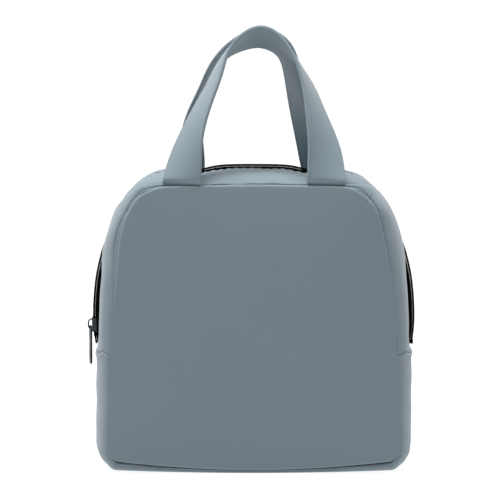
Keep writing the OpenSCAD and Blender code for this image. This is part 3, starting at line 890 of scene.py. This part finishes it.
def spline(points, count):
    """Natural cubic curve through points, evenly sampled in sqrt(chord): its second derivatives solve
    gap[i-1] b[i-1] + 2 (gap[i-1] + gap[i]) b[i] + gap[i] b[i+1] = 6 (slope[i] - slope[i-1])."""
    points = np.array(points, dtype=float)
    gap = np.sqrt(np.linalg.norm(np.diff(points, axis=0), axis=1))
    knots = np.concatenate([[0], np.cumsum(gap)])
    slope = np.diff(points, axis=0) / gap[:, None]
    system = np.eye(len(points))
    inner = np.arange(1, len(points) - 1)
    system[inner, inner - 1] = gap[:-1]
    system[inner, inner] = 2 * (gap[:-1] + gap[1:])
    system[inner, inner + 1] = gap[1:]
    right = np.zeros(points.shape)
    right[1:-1] = 6 * np.diff(slope, axis=0)
    bend = np.linalg.solve(system, right)
    u = np.linspace(0, knots[-1], count)
    k = np.clip(np.searchsorted(knots, u, side="right") - 1, 0, len(gap) - 1)
    b = ((u - knots[k]) / gap[k])[:, None]
    a = 1 - b
    return a * points[k] + b * points[k + 1] \
        + ((a ** 3 - a) * bend[k] + (b ** 3 - b) * bend[k + 1]) * gap[k][:, None] ** 2 / 6


print("handles swing", round(HINGE_Z, 1), "mm above the ground")

# %% Strap handles
STRAP_W, STRAP_T = 26.5, 2.3
FLAT_POINTS = 41
TAIL, TAIL_ROWS = 5.2, 8


def strap(name, side, route, lean, twist):
    """The centre follows a smooth curve in a leaning plane, with a tail tucked in behind the seam at
    each end. The section is a strip of 26.5 x 2.3 mm with round edges, a little cupped and pressed in
    at its two rows of stitches; it turns by twist, a list of (share of the length, degrees)."""
    dense = spline(route, 1200)
    even = walked(dense)
    grid = np.linspace(0, even[-1], 301)
    x, h = np.interp(grid, even, dense[:, 0]), np.interp(grid, even, dense[:, 1])
    stations = spline([(100 * place, degrees) for place, degrees in twist], 1200)
    turn = np.radians(np.interp(grid / grid[-1] * 100, stations[:, 0], stations[:, 1]))[:, None]
    up = np.array([0, math.sin(lean), math.cos(lean)])
    through = np.array([0, math.cos(lean), -math.sin(lean)])
    tangent = unit(np.stack([np.gradient(x), np.gradient(h)], axis=-1))
    out = -tangent[:, 1:] * np.array([1.0, 0, 0]) + tangent[:, :1] * up
    across = out * np.cos(turn) + through * np.sin(turn)
    face = through * np.cos(turn) - out * np.sin(turn)
    inward = 1.8 * np.exp(-h / 1.6)
    centre = np.array([0, -HINGE_Y, HINGE_Z]) + x[:, None] * np.array([1.0, 0, 0]) + h[:, None] * up \
        + inward[:, None] * Y_AXIS
    drop = np.linspace(TAIL, 0.3, TAIL_ROWS)[:, None]
    tail = np.array([0, 0, -1.0]) * drop + Y_AXIS * (1.2 * (1 - np.exp(-drop)) + 0.3 * drop)
    centre = np.concatenate([centre[0] + tail, centre, centre[-1] + tail[::-1]])
    across = np.pad(across, [(TAIL_ROWS, TAIL_ROWS), (0, 0)], mode="edge")
    face = np.pad(face, [(TAIL_ROWS, TAIL_ROWS), (0, 0)], mode="edge")
    a = np.concatenate([np.linspace(-0.97, 0.97, FLAT_POINTS), [0.992, 1.0, 0.992]])
    b = np.concatenate([np.ones(FLAT_POINTS), [0.6, 0, -0.6]])
    a, b = np.concatenate([a, -a]), np.concatenate([b, -b])
    stitches = 0.32 * bump(np.abs(a), 0.8, 0.035) * np.abs(b)
    flesh = b * (1 - stitches) + 0.10 * b * np.cos(a * np.pi / 2)
    cup = 0.35 * (a ** 2 - 0.3)
    ring = centre[:, None] + across[:, None] * (a * STRAP_W / 2)[:, None] \
        + face[:, None] * (flesh * STRAP_T / 2 + cup)[:, None]
    if side > 0:
        ring = ring * np.array([1, -1, 1])
    return surface(name, ring, wrap_v=True, caps=True)


FRONT_ROUTE = [(-50, 0), (-46.5, 24.7), (-37.9, 52.8), (-27.3, 78.6), (-18.3, 98.8), (4.7, 112.3),
               (24.9, 98.8), (36.4, 78.6), (43.6, 52.8), (49.2, 24.7), (50, 0)]
FRONT_TWIST = [(0, 0), (0.14, 47), (0.28, 64), (0.42, 79), (0.54, 89), (0.66, 75), (0.80, 54), (1, 0)]
BACK_ROUTE = [(-50, 0), (-47.4, 26.1), (-44.4, 55.8), (-33.9, 83.1), (-20.0, 104.5), (7.2, 117.0),
              (23.4, 103.0), (28.7, 83.1), (34.3, 55.8), (43.0, 26.1), (50, 0)]
BACK_TWIST = [(0, 0), (0.14, 58), (0.28, 71), (0.42, 50), (0.54, 31), (0.66, 61), (0.80, 52), (1, 0)]
strap_front = strap("Front_strap", -1, FRONT_ROUTE, LEAN_FRONT, FRONT_TWIST)
strap_back = strap("Back_strap", 1, BACK_ROUTE, LEAN_BACK, BACK_TWIST)

# %% [markdown]
# ## Materials of the small pieces
# The zip is one colour: black nylon coils on a black knitted tape, so matt that they read as one
# dark band. The slider and its puller are die-cast zinc under a dark blue-grey paint, with a soft
# highlight. The lining is a smooth pale film over white foam, whose cut cells show as a fine grain.
# One function makes the plain ones, because they differ only in a few numbers.

# %% Trim materials
UNEVEN = 0.06


def plain(name, colour, roughness, metallic=0.0, grain=0.0, shine=0.5):
    """A plain finish whose roughness varies a little from place to place; grain adds relief."""
    material, tree, shader = new_material(name, Roughness=roughness, Metallic=metallic,
                                          Base_Color=linear(colour), Specular_IOR_Level=shine)
    place = add_node(tree, "ShaderNodeTexCoord").outputs["Object"]
    noise = add_node(tree, "ShaderNodeTexNoise", {"Vector": place, "Scale": 900.0, "Detail": 2.0})
    spread = add_node(tree, "ShaderNodeMapRange", {"Value": noise.outputs["Fac"],
                                                   "To Min": roughness - UNEVEN,
                                                   "To Max": roughness + UNEVEN})
    tree.links.new(spread.outputs[0], shader.inputs["Roughness"])
    if grain:
        relief = add_node(tree, "ShaderNodeBump", {"Height": noise.outputs["Fac"], "Strength": grain,
                                                   "Distance": 0.1 * MM})
        tree.links.new(relief.outputs[0], shader.inputs["Normal"])
    return material


nylon = plain("nylon coil", "#08090c", 0.55, shine=0.03)
zinc = plain("die-cast zinc, dark finish", "#2c343b", 0.5, metallic=0.35)
film = plain("PEVA lining film", "#d3d7d9", 0.38)
foam = plain("closed-cell PE foam", "#e9e7e0", 0.85, grain=0.4)
tape_cloth = woven_polyester("knitted polyester tape", "#08090c", thread=0.7 * MM, sheen=0.0, shine=0.0)
binding = woven_polyester("seam binding tape", "#5d686e", thread=0.8 * MM)
print("trim:", ", ".join(m.name for m in (nylon, zinc, film, foam, tape_cloth, binding)))

# %% [markdown]
# ## Which piece follows which body
# New cloth and hardware pieces stand for the CAD's plain ones and ride on the same bodies. The
# cloth and the layers inside it belong to the bag itself, and each one's name in small letters is
# that of the CAD piece it replaces. The outer ones are padded.

# %% Pieces of the bag
padded_pieces = [panel_front, panel_back, strip_front, strip_back, gusset_piece]
families = [("shell_fabric", panel_cloth, padded_pieces), ("zip_tape", tape_cloth, [tape_front, tape_back]),
            ("zip_coil", nylon, [coil_front, coil_back]), ("foam", foam, foam_pieces),
            ("lining_film", film, film_pieces)]
sewn = [(piece, slot, material) for slot, material, pieces in families for piece in pieces]
for piece, slot, material in sewn:
    node = piece.name.lower().removesuffix("_cover")
    piece.data.materials.append(material)
    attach(piece, "bag")
    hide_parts(node)
print(len(sewn), "pieces are fixed to the bag")

# %% [markdown]
# The slider's pieces move along the zip and the puller swings on them. The straps are sewn into the
# bag at both ends.
# A few CAD pieces lie out of sight or are right already: they are kept and only get a material.

# %% Moving pieces and kept CAD pieces
hard = [(piece, "zip_slider", "slider_body") for piece in slider_parts]
hard += [(bail, "zip_slider", "slider_bail"), (pull, "zip_puller", "slider_puller")]
for piece, body, node in hard:
    piece.data.materials.append(zinc)
    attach(piece, body)
    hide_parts(node)

handles = [(strap_front, -1, "front_strap", ("front_handle", "front_strap_ends")),
           (strap_back, 1, "back_strap", ("back_handle", "back_strap_ends"))]
for piece, side, body, nodes in handles:
    piece.data.materials.append(strap_cloth)
    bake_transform(piece)
    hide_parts(*nodes)
print(len(hard), "pieces ride on the slider and the puller,", len(handles), "straps bend")

for node, material in (("foam_front", foam), ("foam_back", foam), ("lining_front", film),
                       ("lining_back", film), ("seam_binding_front", binding),
                       ("seam_binding_back", binding), ("zip_stops", nylon)):
    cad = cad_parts[node]
    cad.data.materials.clear()
    cad.data.materials.append(material)

# %% [markdown]
# ## Studio
# Two square soft lights hang high above the bag, one of them further to the left, and the world is
# white behind it and dimmer in front. A white floor under a lamp turns grey with distance, so this
# one also glows. The camera looks at the front panel from a little above, with a long lens.

# %% Floor and world
scene = bpy.context.scene
floor_mesh = bpy.data.meshes.new("Studio_floor")
floor_mesh.from_pydata([(-6, -6, 0), (6, -6, 0), (6, 6, 0), (-6, 6, 0)], [], [(0, 1, 2, 3)])
floor = bpy.data.objects.new("Studio_floor", floor_mesh)
scene.collection.objects.link(floor)
table, tree, shader = new_material("lit white acrylic", Roughness=1.0, Base_Color=linear("#959595"),
                                   Emission_Color=(1, 1, 1, 1))
spot = add_node(tree, "ShaderNodeTexCoord").outputs["Object"]
far = add_node(tree, "ShaderNodeVectorMath", {0: spot}, operation="LENGTH")
lit = add_node(tree, "ShaderNodeMapRange", {"Value": far.outputs["Value"], "From Min": 0.4,
                                            "From Max": 1.6, "To Min": 0.88, "To Max": 0.93})
tree.links.new(lit.outputs[0], shader.inputs["Emission Strength"])
floor_mesh.materials.append(table)

world = bpy.data.worlds.new("Studio")
world.use_nodes = True
sky = world.node_tree
towards = add_node(sky, "ShaderNodeTexCoord").outputs["Generated"]
direction = add_node(sky, "ShaderNodeSeparateXYZ", {"Vector": towards})
glow = add_node(sky, "ShaderNodeMapRange", {"Value": direction.outputs["Y"], "From Min": 0.1,
                                            "From Max": 0.6, "To Min": 0.3, "To Max": 1.02})
sky.nodes["Background"].inputs["Color"].default_value = (1, 1, 1, 1)
sky.links.new(glow.outputs[0], sky.nodes["Background"].inputs["Strength"])
scene.world = world
scene.view_settings.view_transform = "Standard"
print("floor:", table.name)

# %% Lights and camera
def aim(thing, place, target):
    """Puts a lamp or camera at place and points it at target; at rest either looks along -Z."""
    thing.location = place
    thing.rotation_euler = (Vector(target) - Vector(place)).to_track_quat("-Z", "Y").to_euler()


def area_light(name, place, power):
    """A square soft light that shines from place to the middle of the bag."""
    lamp = bpy.data.lights.new(name, "AREA")
    lamp.size = LIGHT_SIZE
    lamp.energy = power
    light = bpy.data.objects.new(name, lamp)
    scene.collection.objects.link(light)
    aim(light, place, BAG_MIDDLE)


LIGHT_SIZE = 0.7
BAG_MIDDLE = (0, 0, 0.15)
area_light("Key", (-0.6, -0.15, 1.8), power=23)
area_light("Overhead", (0.1, -0.1, 1.9), power=31)

camera = bpy.data.objects.new("Camera", bpy.data.cameras.new("Camera"))
scene.collection.objects.link(camera)
scene.camera = camera
TARGET = np.array([-0.0027, 0, 0.1516])
DISTANCE = 1.7
ELEVATION = math.radians(4.5)
place = TARGET + DISTANCE * np.array([0, -math.cos(ELEVATION), math.sin(ELEVATION)])
aim(camera, place, TARGET)
camera.data.lens = 169.8
camera.data.sensor_width = 36
print("camera at", np.round(place, 3))
